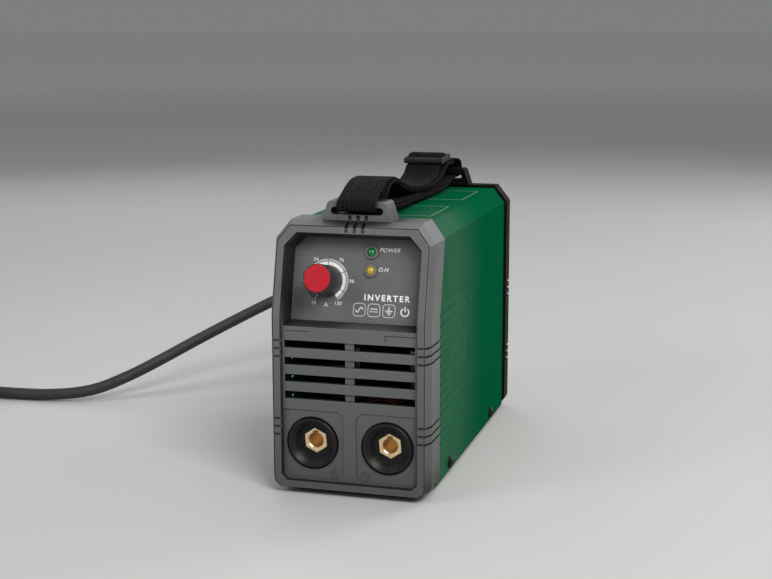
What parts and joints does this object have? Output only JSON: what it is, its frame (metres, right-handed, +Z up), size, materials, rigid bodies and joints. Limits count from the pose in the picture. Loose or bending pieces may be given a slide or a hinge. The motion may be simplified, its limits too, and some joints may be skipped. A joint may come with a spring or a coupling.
{
  "type": "stick welding inverter",
  "caption": "Portable stick welding inverter: green steel case between dark mouldings, current knob, brass welding-cable sockets, carrying strap and mains cord.",
  "frame": {"origin": "on the surface that the feet stand on, at the centre of the machine's box, without its mains cord", "axes": "+Z up, the front with the knob and the sockets faces -Y, +X to the right as seen from the front"},
  "size_m": [0.5315, 0.3853, 0.2026],
  "materials": {
    "front_moulding": "fine matt grain",
    "case_green": "satin green powder coat",
    "rear_moulding": "matt",
    "zinc_steel": "zinc plated",
    "black_screw": "black oxide, satin",
    "rubber_feet": "matt",
    "knob_dark": "satin",
    "knob_red": "semi-gloss",
    "pot_blue": "satin",
    "board_green": "satin solder mask",
    "led_green": "clear tinted lens, unlit",
    "led_yellow": "clear tinted lens, unlit",
    "led_ring": "semi-gloss",
    "socket_black": "satin",
    "contact_brass": "machined",
    "copper": "bare copper",
    "sink_aluminium": "extruded",
    "chip_black": "satin",
    "capacitor_blue": "shrink sleeve",
    "ferrite": "matt sintered",
    "fan_black": "satin",
    "switch_black": "satin",
    "switch_red": "gloss",
    "webbing": "woven nylon",
    "buckle_black": "satin",
    "cord_rubber": "matt",
    "tie_black": "hook and loop",
    "pin_nickel": "nickel plated"
  },
  "bodies": {
    "case": {"front_panel": "front_moulding", "housing_cover": "case_green", "rear_panel": "rear_moulding", "base_plate": "zinc_steel", "cover_screws": "black_screw", "rear_screws": "black_screw", "feet": "rubber_feet", "pot_body": "pot_blue", "pot_nut": "zinc_steel", "control_board": "board_green", "power_led": "led_green", "overheat_led": "led_yellow", "led_bezels": "led_ring", "left_socket_body": "socket_black", "right_socket_body": "socket_black", "left_socket_insert": "contact_brass", "right_socket_insert": "contact_brass", "socket_nuts": "socket_black", "busbars": "copper", "main_board": "board_green", "board_standoffs": "contact_brass", "board_screws": "zinc_steel", "heat_sinks": "sink_aluminium", "power_transistors": "chip_black", "bridge_rectifier": "chip_black", "bus_capacitors": "capacitor_blue", "transformer_core": "ferrite", "transformer_windings": "copper", "output_choke": "copper", "fan_frame": "fan_black", "fan_screws": "zinc_steel", "switch_housing": "switch_black", "carry_strap": "webbing", "strap_buckle": "buckle_black", "cable_gland": "cord_rubber", "power_cord": "cord_rubber", "cord_coil": "cord_rubber", "cord_tie": "tie_black", "plug_body": "cord_rubber", "plug_pins": "pin_nickel"},
    "knob": {"current_knob": "knob_dark", "knob_cap": "knob_red", "pot_shaft": "zinc_steel"},
    "fan": {"fan_rotor": "fan_black"},
    "rocker": {"switch_rocker": "switch_red"}
  },
  "joints": [
    {"name": "knob_turn", "type": "hinge", "parent": "case", "child": "knob", "pos_m": [-0.0187, -0.11978, 0.1399], "axis": [0, 0.9711, -0.2385], "range_deg": [-12, 282]},
    {"name": "rocker_tilt", "type": "hinge", "parent": "case", "child": "rocker", "pos_m": [0.024, 0.1186, 0.1345], "axis": [1, 0, 0], "range_deg": [0, 20]},
    {"name": "fan_spin", "type": "hinge", "parent": "case", "child": "fan", "pos_m": [0, 0.1054, 0.0585], "axis": [0, 1, 0], "continuous": true}
  ]
}
